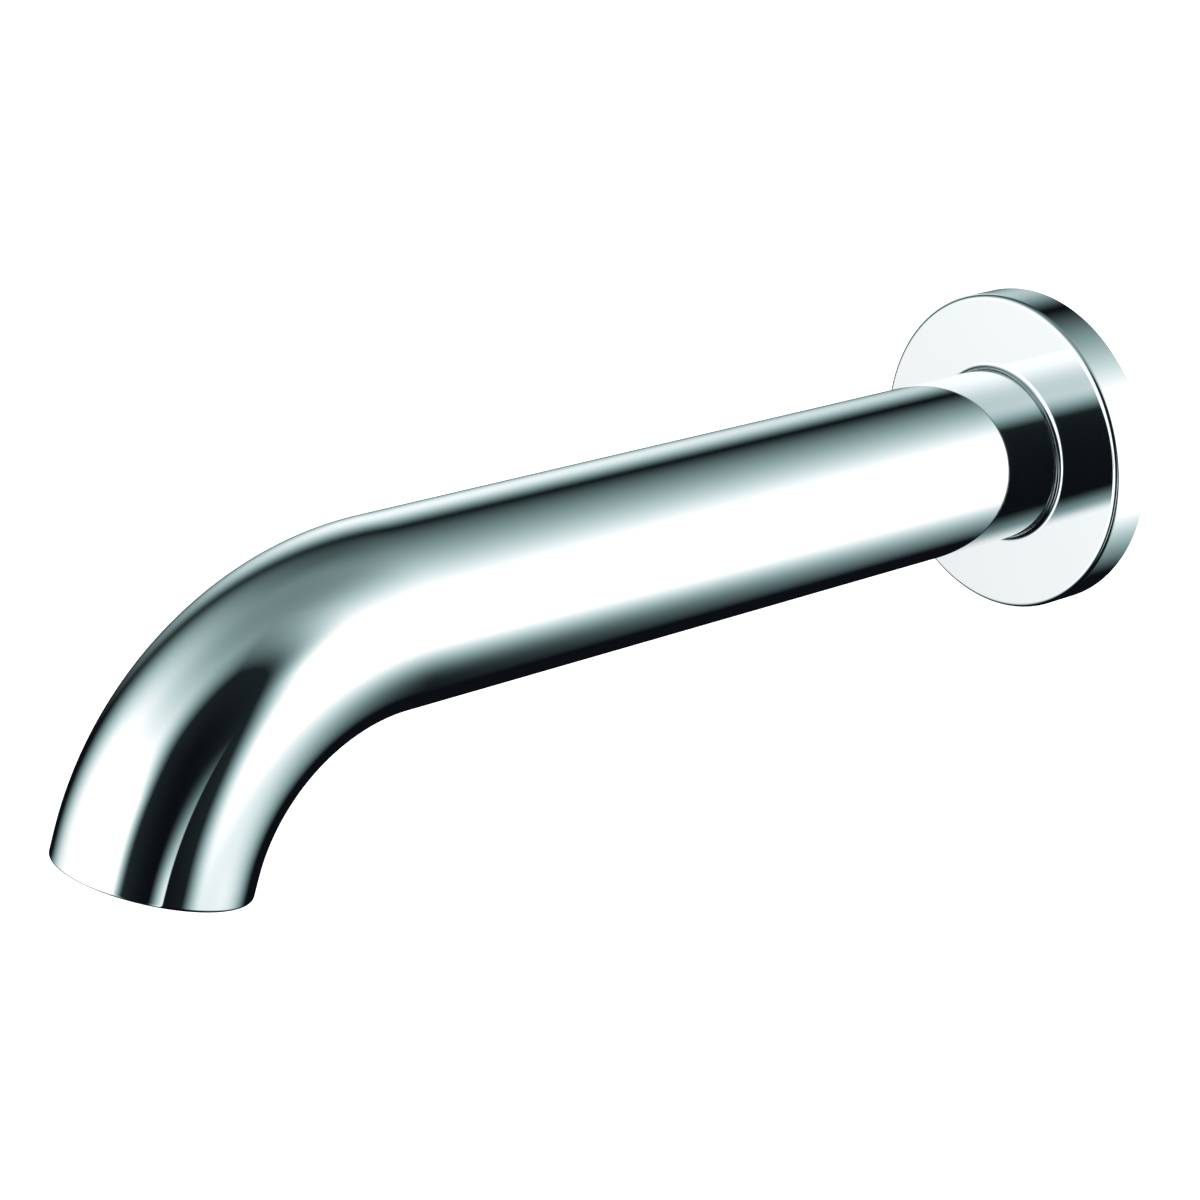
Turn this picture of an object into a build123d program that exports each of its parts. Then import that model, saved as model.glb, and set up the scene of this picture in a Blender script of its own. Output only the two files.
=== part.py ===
from build123d import *
import os
from math import cos, radians, sin, tan

# A touchless wall tap: a bent chrome spout on a brass wall base, with a sensor and an aerator in its outlet.
# The origin is the centre of the base's rear face, on the wall. +Z is up, and the spout leaves along -Y.
# Heights in the wall frame run out from the wall, and heights in the tip frame run out along the stream.

# Spout tube
tube_diameter = 32.0
tube_wall = 2.0
straight_length = 146.0
bend_radius = 44.0
bend_angle = 71.0
tip_length = 3.5
tip_edge_radius = 0.3
seat_step = 0.5
seat_depth = 9.0

# Wall flange, which slides on the tube and hides the base
flange_diameter = 60.0
flange_depth = 8.0
flange_edge_radius = 1.0
flange_rim_wall = 3.0
flange_front_wall = 2.5
flange_bore_gap = 0.08
flange_lip_wall = 0.12
flange_lip_height = 1.05
flange_lip_bevel = 0.1
flange_cove_radius = 1.0
hub_wall = 4.0
hub_gap = 0.5
grip_ring_width = 2.4
grip_ring_depth = 1.8
flange_seal_lip = 0.7
flange_seal_depth = 1.2

# Wall base, with a spigot that carries the tube
plate_thickness = 3.0
plate_gap = 1.0
plate_chamfer = 0.4
screw_count = 3
screw_hole_diameter = 4.5
screw_head_margin = 0.8
spigot_length = 24.0
spigot_gap = 0.1
spigot_chamfer = 1.0
spigot_ring_width = 2.2
spigot_ring_depth = 1.3
spigot_ring_land = 2.0
inlet_diameter = 10.0
inlet_depth = 12.0
inlet_chamfer = 0.6

# Grub screws that lock the tube to the spigot, and the outlet head in the tube
grub_diameter = 4.0
grub_length = 4.0
grub_recess = 0.2
grub_chamfer = 0.5
grub_key = 2.0
grub_key_depth = 1.8
grub_setback = 8.5

# Water hose and its two ends
hose_diameter = 8.0
hose_wall = 1.5
barb_wall = 0.8
barb_length = 6.0
barb_groove = 0.3
barb_groove_count = 3
barb_root_diameter = 7.4
barb_root_length = 6.0
barb_collar_diameter = 10.0
barb_collar = 1.2
ferrule_wall = 0.6
ferrule_length = 5.0

# Sensor lead and the socket that it ends in
lead_diameter = 2.8
lead_gap = 0.3
socket_diameter = 6.0
socket_length = 12.0
socket_wall = 0.7
socket_recess = 5.0
socket_key = 0.8
pin_count = 3
pin_diameter = 0.8
pin_circle = 2.4
pin_length = 7.0
pin_setback = 1.0

# Outlet head in the tip
head_recess = 0.8
head_gap = 0.1
head_chamfer = 0.4
head_ring_width = 1.8
head_ring_depth = 1.5
head_ring_land = 1.0
chamber_wall = 1.4
chamber_depth = 2.6
chamber_floor = 1.0

# Aerator, which screws into the head behind the sensor
aerator_web = 1.35
grub_web = 0.55
aerator_wall = 1.65
aerator_lip = 0.6
aerator_lip_height = 0.8
aerator_height = 5.5
aerator_seal_height = 1.2
aerator_ledge = 2.05
key_slot_count = 6
key_slot_width = 1.6
key_slot_depth = 0.7
grid_height = 2.0
grid_rings = 3
grid_web = 0.3
jet_count = 10
jet_diameter = 0.9
jet_plate = 0.9
jet_skirt = 0.7
jet_inset = 1.6
strainer_rim = 0.7
strainer_wall = 0.5
strainer_inset = 1.3

# Sensor behind its window, on the user's side of the aerator
window_width = 11.0
window_height = 5.4
window_depth = 1.5
window_corner = 1.2
window_edge = 2.4
case_ledge = 0.6
case_corner = 0.6
case_wall = 0.6
case_back = 0.8
baffle_width = 0.8
board_thickness = 0.8
led_spacing = 4.8
led_gap = 0.2
led_clearance = 0.3
led_height = 3.1

# Cutting tools run past the faces that they open
past = 1.0

# Places that follow from these sizes
tube_radius = tube_diameter / 2
bore_radius = tube_radius - tube_wall
turn = radians(bend_angle)
half_turn = tan(turn / 2)
corner_distance = straight_length + bend_radius * half_turn
tip_run = bend_radius * half_turn + tip_length
stream = Vector(0, -cos(turn), -sin(turn))
ahead = Vector(0, -sin(turn), cos(turn))
wall = Plane(origin=(0, 0, 0), x_dir=(1, 0, 0), z_dir=(0, -1, 0))
tip = Plane(origin=Vector(0, -corner_distance, 0) + stream * tip_run, x_dir=(1, 0, 0), z_dir=stream)

flange_radius = flange_diameter / 2
flange_bore_radius = tube_radius + flange_bore_gap
lip_radius = flange_bore_radius + flange_lip_wall
lip_top = flange_depth + flange_lip_height
cavity_radius = flange_radius - flange_rim_wall
cavity_height = flange_depth - flange_front_wall
hub_height = plate_thickness + hub_gap
grip_ring_low = (hub_height + flange_depth - grip_ring_width) / 2
grip_ring_high = grip_ring_low + grip_ring_width
grip_ring_radius = flange_bore_radius + grip_ring_depth
seal_inner_radius = cavity_radius + flange_seal_lip
seal_outer_radius = flange_radius - flange_seal_lip

plate_radius = cavity_radius - plate_gap
screw_circle_radius = (tube_radius + plate_radius) / 2
screw_head_radius = (plate_radius - tube_radius) / 2 - screw_head_margin
spigot_radius = bore_radius - spigot_gap
spigot_end = plate_thickness + spigot_length
inlet_radius = inlet_diameter / 2
socket_offset = (spigot_radius + inlet_radius) / 2
base_grub_height = spigot_end - grub_setback
front_ring_height = spigot_end - spigot_ring_land - spigot_ring_width / 2
rear_ring_height = 2 * base_grub_height - front_ring_height
spigot_ring_radius = bore_radius - spigot_ring_depth

grub_outer = tube_radius - grub_recess
grub_inner = grub_outer - grub_length
grub_radius = grub_diameter / 2

seat_radius = bore_radius + seat_step
head_radius = seat_radius - head_gap
face = -head_recess
head_back = -seat_depth
head_ring_low = head_back + head_ring_land
head_ring_high = head_ring_low + head_ring_width
head_ring_radius = seat_radius - head_ring_depth
tip_grub_depth = (head_recess - head_ring_high) / 2
grub_frames = [
    Plane(origin=(0, -base_grub_height, 0), x_dir=(1, 0, 0), z_dir=(0, 0, -1)),
    Plane(origin=tip.from_local_coords((0, 0, -tip_grub_depth)), x_dir=(1, 0, 0), z_dir=ahead * -1),
]

window_top = head_radius - window_edge
sensor_offset = window_top - window_height / 2
window_back = face - window_depth
case_width = window_width - 2 * case_ledge
case_height = window_height - 2 * case_ledge
case_room_width = case_width - 2 * case_wall
case_room_height = case_height - 2 * case_wall
case_floor = head_back + case_back
led_radius = (case_room_height - 2 * led_gap) / 2
board_front = window_back - led_clearance - led_height
board_back = board_front - board_thickness
lead_radius = lead_diameter / 2

aerator_bottom = grub_web - grub_inner
aerator_top = window_top - window_height - aerator_web
aerator_radius = (aerator_top - aerator_bottom) / 2
aerator_offset = (aerator_top + aerator_bottom) / 2
aerator_room = aerator_radius - aerator_wall
aerator_mouth = aerator_room - aerator_lip
aerator_back = face - aerator_height
seal_back = aerator_back - aerator_seal_height
lip_back = face - aerator_lip_height
grid_back = lip_back - grid_height
chamber_radius = aerator_radius - aerator_ledge
chamber_end = seal_back - chamber_depth
head_barb_start = chamber_end - chamber_floor
head_barb_end = head_barb_start - barb_length

hose_radius = hose_diameter / 2
hose_bore_radius = hose_radius - hose_wall
barb_bore_radius = hose_bore_radius - barb_wall
base_barb_start = spigot_end + barb_collar


def rod(frame, radius, low, high, x=0, y=0):
    """A round bar between two heights in a frame."""
    bar = Cylinder(radius, high - low, align=(Align.CENTER, Align.CENTER, Align.MIN))
    return frame * Pos(x, y, low) * bar


def ring(frame, inner, outer, low, high, y=0):
    """A flat-sided ring between two heights in a frame."""
    return rod(frame, outer, low, high, y=y) - rod(frame, inner, low, high, y=y)


def taper(frame, low_radius, high_radius, low, high, x=0, y=0):
    """A cone between two heights in a frame."""
    cone = Cone(low_radius, high_radius, high - low, align=(Align.CENTER, Align.CENTER, Align.MIN))
    return frame * Pos(x, y, low) * cone


def slab(frame, width, height, corner, low, high, x=0, y=0):
    """A rounded rectangle raised between two heights in a frame."""
    return extrude(frame * Pos(x, y, low) * RectangleRounded(width, height, corner), amount=high - low)


def bent_rod(radius, wall_offset, tip_offset, start, finish, turn_radius):
    """A round bar out from the wall above the spout's axis, round one bend and on to the tip, ahead of it."""
    corner = corner_distance + (tip_offset - wall_offset * cos(turn)) / sin(turn)
    end = tip.from_local_coords((0, tip_offset, finish))
    path = FilletPolyline((0, -start, wall_offset), (0, -corner, wall_offset), end, radius=turn_radius)
    section = Plane(origin=path @ 0, x_dir=(1, 0, 0), z_dir=path % 0) * Circle(radius)
    return sweep(section, path=path)


def turn_radius_to(wall_offset, tip_offset, straight_end):
    """The bend that leaves a straight run of this length before the tip."""
    run = tip_run + (wall_offset - tip_offset * cos(turn)) / sin(turn)
    return (run - straight_end) / half_turn


def spout_tube():
    """Bent brass tube with a machined seat in its tip, a rounded end and two tapped holes for grub screws."""
    outer = bent_rod(tube_radius, 0, 0, plate_thickness, 0, bend_radius)
    end = outer.faces().sort_by(Axis(tip.origin, stream))[-1]
    outer = fillet(end.edges(), tip_edge_radius)
    bore = bent_rod(bore_radius, 0, 0, plate_thickness - past, past, bend_radius)
    tube = outer - bore - rod(tip, seat_radius, -seat_depth, past)
    for frame in grub_frames:
        tube -= rod(frame, grub_radius, grub_inner, tube_radius + past)
    return tube


def wall_flange():
    """Round cover with a hollow back, a thin coved lip round its bore, and a hub that holds the grip ring."""
    outward = Axis((0, 0, 0), (0, -1, 0))
    cover = rod(wall, flange_radius, 0, flange_depth)
    front = cover.faces().sort_by(outward)[-1]
    cover = fillet(front.edges(), flange_edge_radius)
    cover += rod(wall, lip_radius, flange_depth, lip_top)
    front_edges = cover.edges().filter_by(GeomType.CIRCLE).group_by(outward)[-2]
    cover = fillet(front_edges.sort_by(SortBy.LENGTH)[0], flange_cove_radius)
    cover -= rod(wall, cavity_radius, -past, cavity_height)
    cover += rod(wall, flange_bore_radius + hub_wall, hub_height, flange_depth - past)
    cover -= rod(wall, flange_bore_radius, -past, lip_top + past)
    bevel_radius = flange_bore_radius + flange_lip_bevel
    cover -= taper(wall, flange_bore_radius, bevel_radius, lip_top - flange_lip_bevel, lip_top)
    cover -= rod(wall, grip_ring_radius, grip_ring_low, grip_ring_high)
    return cover - ring(wall, seal_inner_radius, seal_outer_radius, -past, flange_seal_depth)


def flange_grip_ring():
    """Rubber ring in the hub's groove, pressed flat on the tube."""
    return ring(wall, tube_radius, grip_ring_radius, grip_ring_low, grip_ring_high)


def flange_seal():
    """Foam ring let into the flange's rear rim, against the wall."""
    return ring(wall, seal_inner_radius, seal_outer_radius, 0, flange_seal_depth)


def wall_base():
    """Brass plate with countersunk screw holes and a spigot with the water inlet and the socket's bore."""
    plate = rod(wall, plate_radius, 0, plate_thickness - plate_chamfer)
    edge = taper(
        wall, plate_radius, plate_radius - plate_chamfer, plate_thickness - plate_chamfer, plate_thickness
    )
    spigot = rod(wall, spigot_radius, plate_thickness, spigot_end - spigot_chamfer)
    nose = taper(
        wall, spigot_radius, spigot_radius - spigot_chamfer, spigot_end - spigot_chamfer, spigot_end
    )
    base = plate + edge + spigot + nose
    for spot in PolarLocations(screw_circle_radius, screw_count, start_angle=90):
        x, y = spot.position.X, spot.position.Y
        hole_radius = screw_hole_diameter / 2
        base -= rod(wall, hole_radius, -past, plate_thickness + past, x, y)
        head_low = plate_thickness - (screw_head_radius - hole_radius)
        base -= taper(wall, hole_radius, screw_head_radius, head_low, plate_thickness, x, y)
    base -= rod(wall, inlet_radius, -past, inlet_depth)
    base -= taper(wall, inlet_radius + inlet_chamfer, inlet_radius, 0, inlet_chamfer)
    base -= rod(wall, barb_bore_radius, 0, spigot_end)
    base -= rod(wall, barb_root_diameter / 2, spigot_end - barb_root_length, spigot_end + past)
    base -= rod(wall, socket_diameter / 2, -past, socket_length, y=socket_offset)
    base -= rod(wall, lead_radius + lead_gap, 0, spigot_end + past, y=socket_offset)
    for height in (rear_ring_height, front_ring_height):
        low = height - spigot_ring_width / 2
        base -= ring(wall, spigot_ring_radius, bore_radius + past, low, low + spigot_ring_width)
    return base - rod(grub_frames[0], grub_radius, grub_inner, tube_radius)


def spigot_rings():
    """Two rubber rings that take up the play between spigot and tube."""
    rings = []
    for height in (rear_ring_height, front_ring_height):
        low = height - spigot_ring_width / 2
        rings.append(ring(wall, spigot_ring_radius, bore_radius, low, low + spigot_ring_width))
    return Compound(children=rings)


def grub_screw(frame):
    """Set screw with a hex key socket and a bevelled end."""
    body = rod(frame, grub_radius, grub_inner + grub_chamfer, grub_outer)
    body += taper(frame, grub_radius - grub_chamfer, grub_radius, grub_inner, grub_inner + grub_chamfer)
    key = RegularPolygon(grub_key / 2, 6, major_radius=False)
    return body - extrude(frame * Pos(0, 0, grub_outer) * key, amount=-grub_key_depth)


def grub_screws():
    """One under the spout near the wall, and one behind its tip."""
    return Compound(children=[grub_screw(frame) for frame in grub_frames])


def barb(frame, start, direction, y=0):
    """Hose barb with grip grooves, cut back from the hose's bore."""
    low, high = sorted((start, start + direction * barb_length))
    body = rod(frame, hose_bore_radius, low, high, y=y)
    for step in range(1, barb_groove_count + 1):
        middle = start + direction * barb_length * step / (barb_groove_count + 1)
        groove_radius = hose_bore_radius - barb_groove
        body -= ring(
            frame, groove_radius, hose_radius, middle - barb_groove, middle + barb_groove, y=y
        )
    return body


def inlet_barb():
    """Brass hose tail pressed into the front of the spigot."""
    body = rod(wall, barb_root_diameter / 2, spigot_end - barb_root_length, spigot_end)
    body += rod(wall, barb_collar_diameter / 2, spigot_end, base_barb_start)
    body += barb(wall, base_barb_start, 1)
    return body - rod(wall, barb_bore_radius, 0, base_barb_start + barb_length + past)


def water_hose():
    """Hose from the inlet barb to the outlet head's barb, round the bend inside the tube."""
    radius = turn_radius_to(0, aerator_offset, -head_barb_end)
    outer = bent_rod(hose_radius, 0, aerator_offset, base_barb_start, head_barb_start, radius)
    return outer - bent_rod(
        hose_bore_radius, 0, aerator_offset, base_barb_start - past, head_barb_start + past, radius
    )


def hose_ferrules():
    """A crimped steel sleeve over each end of the hose."""
    outer = hose_radius + ferrule_wall
    near = ring(wall, hose_radius, outer, base_barb_start, base_barb_start + ferrule_length)
    far = ring(
        tip, hose_radius, outer, head_barb_start - ferrule_length, head_barb_start, y=aerator_offset
    )
    return Compound(children=[near, far])


def pin_spots():
    """Pin centres in the socket."""
    spots = PolarLocations(pin_circle / 2, pin_count, start_angle=90)
    return [(spot.position.X, socket_offset + spot.position.Y) for spot in spots]


def lead_socket():
    """Moulded socket in the base's rear face, where the control box's cable plugs in."""
    body = rod(wall, socket_diameter / 2, 0, socket_length, y=socket_offset)
    room_radius = socket_diameter / 2 - socket_wall
    body -= rod(wall, room_radius, -past, socket_recess, y=socket_offset)
    key_y = socket_offset - room_radius
    body += slab(wall, socket_key, socket_key, socket_key / 4, 0, socket_recess, y=key_y)
    for x, y in pin_spots():
        body -= rod(wall, pin_diameter / 2, pin_setback, pin_setback + pin_length, x, y)
    return body


def socket_pins():
    """Contact pins, set in the socket's floor."""
    pin_end = pin_setback + pin_length
    pins = [rod(wall, pin_diameter / 2, pin_setback, pin_end, *spot) for spot in pin_spots()]
    return Compound(children=pins)


def sensor_lead():
    """Lead from the socket to the sensor's board, along the top of the tube."""
    radius = turn_radius_to(socket_offset, sensor_offset, seat_depth)
    return bent_rod(lead_radius, socket_offset, sensor_offset, socket_length, board_back, radius)


def outlet_head():
    """Moulded body seated in the tip: aerator seat, water chamber with its barb, and the sensor's pocket."""
    body = rod(tip, head_radius, head_back, face - head_chamfer)
    body += taper(tip, head_radius, head_radius - head_chamfer, face - head_chamfer, face)
    body += rod(tip, chamber_radius + chamber_wall, head_barb_start, head_back, y=aerator_offset)
    body += barb(tip, head_barb_start, -1, y=aerator_offset)
    body -= rod(tip, aerator_radius, seal_back, face + past, y=aerator_offset)
    body -= rod(tip, chamber_radius, chamber_end, face, y=aerator_offset)
    body -= rod(tip, barb_bore_radius, head_barb_end - past, face, y=aerator_offset)
    body -= slab(
        tip, window_width, window_height, window_corner, window_back, face + past, y=sensor_offset
    )
    body -= slab(tip, case_width, case_height, case_corner, head_back - past, face, y=sensor_offset)
    body -= ring(tip, head_ring_radius, seat_radius + past, head_ring_low, head_ring_high)
    return body - rod(grub_frames[1], grub_radius, grub_inner, tube_radius)


def outlet_ring():
    """Rubber ring that seals the head in the tip's seat."""
    return ring(tip, head_ring_radius, seat_radius, head_ring_low, head_ring_high)


def aerator_housing():
    """Threaded ring with a lip that holds the grid, and slots for a key."""
    body = ring(tip, aerator_room, aerator_radius, aerator_back, face, y=aerator_offset)
    body += ring(tip, aerator_mouth, aerator_radius, lip_back, face, y=aerator_offset)
    for spot in PolarLocations((aerator_mouth + aerator_radius) / 2, key_slot_count):
        slot = Box(aerator_radius, key_slot_width, 2 * key_slot_depth)
        body -= tip * Pos(0, aerator_offset, face) * spot * Pos(aerator_radius / 2, 0, 0) * slot
    return body


def aerator_grid():
    """Honeycomb of hexagonal cells that straightens the stream."""
    body = rod(tip, aerator_room, grid_back, lip_back, y=aerator_offset)
    pitch = aerator_mouth / (grid_rings + 0.5)
    cell = RegularPolygon((pitch - grid_web) / 2, 6, major_radius=False)
    cells = []
    for row in range(-grid_rings, grid_rings + 1):
        for column in range(-grid_rings, grid_rings + 1):
            if abs(row + column) <= grid_rings:
                x = pitch * row * sin(radians(60))
                y = pitch * (column + row / 2)
                cells.append(Pos(x, y) * cell)
    cells = tip * Pos(0, aerator_offset, grid_back) * Sketch(children=cells)
    return body - extrude(cells, amount=grid_height)


def aerator_diffuser():
    """Jet plate with a skirt that stands on the grid and leaves a mixing room."""
    body = rod(tip, aerator_room, aerator_back, grid_back, y=aerator_offset)
    body -= rod(tip, aerator_room - jet_skirt, aerator_back + jet_plate, grid_back + past, y=aerator_offset)
    for spot in PolarLocations(chamber_radius - jet_inset, jet_count):
        x, y = spot.position.X, spot.position.Y + aerator_offset
        body -= rod(tip, jet_diameter / 2, aerator_back - past, grid_back, x, y)
    return body


def aerator_strainer():
    """Domed sieve with a flat rim, held by the seal."""
    dome = chamber_radius - strainer_inset
    outside = rod(tip, aerator_room, aerator_back - strainer_rim, aerator_back, y=aerator_offset)
    top = aerator_back - aerator_seal_height - chamber_depth / 2
    outside += taper(tip, dome / 2, dome, top, aerator_back, y=aerator_offset)
    inside_top = top + strainer_wall
    return outside - taper(tip, dome / 2, dome - strainer_wall, inside_top, aerator_back, y=aerator_offset)


def aerator_seal():
    """Flat rubber washer between the housing and its seat."""
    return ring(tip, aerator_room, aerator_radius, seal_back, aerator_back, y=aerator_offset)


def sensor_window():
    """Dark window, flush with the head's face, that lets infrared through."""
    return slab(tip, window_width, window_height, window_corner, window_back, face, y=sensor_offset)


def sensor_case():
    """Moulded case behind the window, with a baffle between the two eyes."""
    body = slab(tip, case_width, case_height, case_corner, head_back, window_back, y=sensor_offset)
    room_corner = case_corner / 2
    body -= slab(
        tip, case_room_width, case_room_height, room_corner, case_floor, window_back + past, y=sensor_offset
    )
    baffle_middle = (board_front + window_back) / 2
    baffle = Box(baffle_width, case_room_height, window_back - board_front)
    body += tip * Pos(0, sensor_offset, baffle_middle) * baffle
    return body - rod(tip, lead_radius, head_back - past, case_floor + past, y=sensor_offset)


def sensor_board():
    """Circuit board across the case."""
    room_corner = case_corner / 2
    return slab(
        tip, case_room_width, case_room_height, room_corner, board_back, board_front, y=sensor_offset
    )


def eye(x):
    """Domed infrared eye on the board."""
    shoulder = board_front + led_height - led_radius
    body = rod(tip, led_radius, board_front, shoulder, x, sensor_offset)
    return body + tip * Pos(x, sensor_offset, shoulder) * Sphere(led_radius)


def ir_emitter():
    """The eye that sends."""
    return eye(-led_spacing / 2)


def ir_receiver():
    """The eye that sees the light come back from a hand."""
    return eye(led_spacing / 2)


makers = [
    spout_tube,
    wall_flange,
    flange_grip_ring,
    flange_seal,
    wall_base,
    spigot_rings,
    grub_screws,
    inlet_barb,
    water_hose,
    hose_ferrules,
    lead_socket,
    socket_pins,
    sensor_lead,
    outlet_head,
    outlet_ring,
    aerator_housing,
    aerator_grid,
    aerator_diffuser,
    aerator_strainer,
    aerator_seal,
    sensor_window,
    sensor_case,
    sensor_board,
    ir_emitter,
    ir_receiver,
]
os.makedirs("parts", exist_ok=True)
for maker in makers:
    export_step(maker(), f"parts/{maker.__name__}.step")
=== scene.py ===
import bmesh
import bpy
import numpy as np
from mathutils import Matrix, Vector


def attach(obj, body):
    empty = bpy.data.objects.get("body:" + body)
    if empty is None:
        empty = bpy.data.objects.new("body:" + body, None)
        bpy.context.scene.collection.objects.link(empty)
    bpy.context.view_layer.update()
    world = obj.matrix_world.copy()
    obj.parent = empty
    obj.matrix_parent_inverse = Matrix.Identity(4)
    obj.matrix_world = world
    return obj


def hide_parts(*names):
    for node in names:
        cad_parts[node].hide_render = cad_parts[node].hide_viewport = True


# A touchless wall tap, in metres: the wall is at Y = 0, +Z is up, and the spout leaves along -Y.
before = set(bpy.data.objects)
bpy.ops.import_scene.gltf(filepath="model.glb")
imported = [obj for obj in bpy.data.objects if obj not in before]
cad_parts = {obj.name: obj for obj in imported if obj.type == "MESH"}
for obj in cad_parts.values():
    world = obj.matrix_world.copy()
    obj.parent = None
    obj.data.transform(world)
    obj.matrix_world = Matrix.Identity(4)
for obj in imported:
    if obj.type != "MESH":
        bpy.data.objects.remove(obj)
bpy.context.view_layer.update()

# Wall base: a brass plate and spigot turned from bar, held to the wall by three countersunk screws.
# The lathe tool leaves fine rings on its faces, and handled brass dulls in soft patches.
mm = 0.001


def linear(colour):
    """An sRGB hex colour as linear red, green and blue, with full opacity."""
    values = np.array([int(colour[start:start + 2], 16) for start in (1, 3, 5)]) / 255
    values = np.where(values <= 0.04045, values / 12.92, ((values + 0.055) / 1.055) ** 2.4)
    return (*values.tolist(), 1.0)


def add_node(tree, kind, inputs=None, **settings):
    """Adds a node with its settings. Each input, by name or number, gets a value or a link."""
    node = tree.nodes.new(kind)
    for name, value in settings.items():
        setattr(node, name, value)
    for name, value in (inputs or {}).items():
        if isinstance(value, bpy.types.NodeSocket):
            tree.links.new(value, node.inputs[name])
        else:
            node.inputs[name].default_value = value
    return node


def start_material(name, values):
    """A material with one Principled shader, its values set on the shader's own sockets."""
    material = bpy.data.materials.new(name)
    material.use_nodes = True
    tree = material.node_tree
    tree.nodes.clear()
    shader = add_node(tree, "ShaderNodeBsdfPrincipled", values)
    add_node(tree, "ShaderNodeOutputMaterial", {"Surface": shader.outputs[0]})
    place = add_node(tree, "ShaderNodeTexCoord").outputs["Object"]
    return material, tree, shader, place


def spread(tree, shader, pattern, tones=None, gloss=None, relief=None):
    """Spreads a pattern from 0 to 1 over a finish: from one tone to another, from one roughness to another
    over the pattern's middle range, and as relief with its strength and depth."""
    if tones:
        first, second = linear(tones[0]), linear(tones[1])
        tone = add_node(tree, "ShaderNodeMix", {0: pattern, 6: first, 7: second}, data_type="RGBA")
        tree.links.new(tone.outputs[2], shader.inputs["Base Color"])
    if gloss:
        rough = add_node(tree, "ShaderNodeMapRange", {0: pattern, 1: 0.3, 2: 0.7, 3: gloss[0], 4: gloss[1]})
        tree.links.new(rough.outputs[0], shader.inputs["Roughness"])
    if relief:
        marks = add_node(
            tree, "ShaderNodeBump", {"Height": pattern, "Strength": relief[0], "Distance": relief[1]}
        )
        tree.links.new(marks.outputs[0], shader.inputs["Normal"])


def dress(material, *names):
    """Gives a material to carried-over nodes."""
    for name in names:
        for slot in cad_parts[name].material_slots:
            slot.material = material


# Turned brass: warm yellow metal with rings 0.3 mm apart, drawn coarser than the tool's 0.1 mm to show.
# The rings catch the light in turn: as relief, and as lighter and darker bands painted into the colour, a
# painted sheen.
# Duller, browner patches about 9 mm across break up the shine.
ring_pitch = 0.3 * mm
wave_length = np.pi / 10
patch = 9 * mm
turned_brass, tree, shader, place = start_material("turned_brass", {"Metallic": 1.0})
rings = add_node(
    tree, "ShaderNodeTexWave", {"Vector": place, "Scale": wave_length / ring_pitch, "Distortion": 0.4},
    wave_type="RINGS", rings_direction="Y",
).outputs[1]
dull = add_node(tree, "ShaderNodeTexNoise", {"Vector": place, "Scale": 1 / patch, "Detail": 4.0}).outputs[0]
# This mix drives the colour. Its ring share is a painted sheen, and its dull patches are wear from handling.
dull_patches_and_ring_sheen = add_node(tree, "ShaderNodeMix", {0: 0.35, 2: dull, 3: rings}, data_type="FLOAT").outputs[0]
spread(tree, shader, dull_patches_and_ring_sheen, tones=("#C9A767", "#8F7444"))
spread(tree, shader, dull, gloss=(0.2, 0.38))
spread(tree, shader, rings, relief=(0.6, 0.03 * mm))
dress(turned_brass, "wall_base", "inlet_barb")

# Inlet thread: the M10 x 1 thread cut into the base's bore, where the supply tail screws in.
# It is the same brass, one continuous ridge that fades into the wall at both ends.
thread_pitch = 1.0
thread_start = 0.95
thread_turns = 10.2
thread_root = 5.03
thread_crest = 4.46
root_half_width = 0.45
crest_half_width = 0.14
fade_turns = 0.4
thinnest_end = 0.02
steps_per_turn = 48


def at_wall(x, y, height):
    """A point in metres from its place on the wall and its height out from the wall, in millimetres."""
    x, y, height = np.broadcast_arrays(x, y, height)
    return np.stack([x, -height, y], -1) * mm


def strip(rings):
    """Quads between neighbouring closed rings, from rows of point numbers."""
    ahead = np.roll(rings, -1, axis=1)
    return np.stack([rings[:-1], ahead[:-1], ahead[1:], rings[1:]], -1).reshape(-1, 4)


def new_piece(name, points, faces, material, slot):
    """A smooth closed piece from points and faces, with its faces turned outwards, on the tap's body."""
    mesh = bpy.data.meshes.new(name)
    mesh.from_pydata(points.reshape(-1, 3).tolist(), [], faces)
    shell = bmesh.new()
    shell.from_mesh(mesh)
    loose = [vertex for vertex in shell.verts if not vertex.link_faces]
    bmesh.ops.delete(shell, geom=loose, context="VERTS")
    bmesh.ops.recalc_face_normals(shell, faces=shell.faces)
    shell.to_mesh(mesh)
    shell.free()
    mesh.shade_smooth()
    mesh.materials.append(material)
    piece = bpy.data.objects.new(name, mesh)
    bpy.context.scene.collection.objects.link(piece)
    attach(piece, "root")
    return piece


def thread_ridge():
    """A trapezium carried along a helix: it rises by one pitch a turn, and its crest fades at the ends."""
    turns = np.linspace(0, thread_turns, int(thread_turns * steps_per_turn))[:, None]
    section = np.array([-root_half_width, -crest_half_width, crest_half_width, root_half_width])
    reach = np.array([0.0, 1.0, 1.0, 0.0]) * (thread_root - thread_crest)
    fade = np.clip(np.minimum(turns, thread_turns - turns) / fade_turns, thinnest_end, 1)
    radius = thread_root - reach * fade
    angle = 2 * np.pi * turns
    height = thread_start + thread_pitch * (turns + section * fade)
    points = at_wall(radius * np.cos(angle), radius * np.sin(angle), height)
    numbers = np.arange(points.shape[0] * 4).reshape(-1, 4)
    ends = [numbers[0].tolist(), numbers[-1].tolist()]
    return points, strip(numbers).tolist() + ends


new_piece("inlet_thread", *thread_ridge(), turned_brass, "base_brass")

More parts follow.
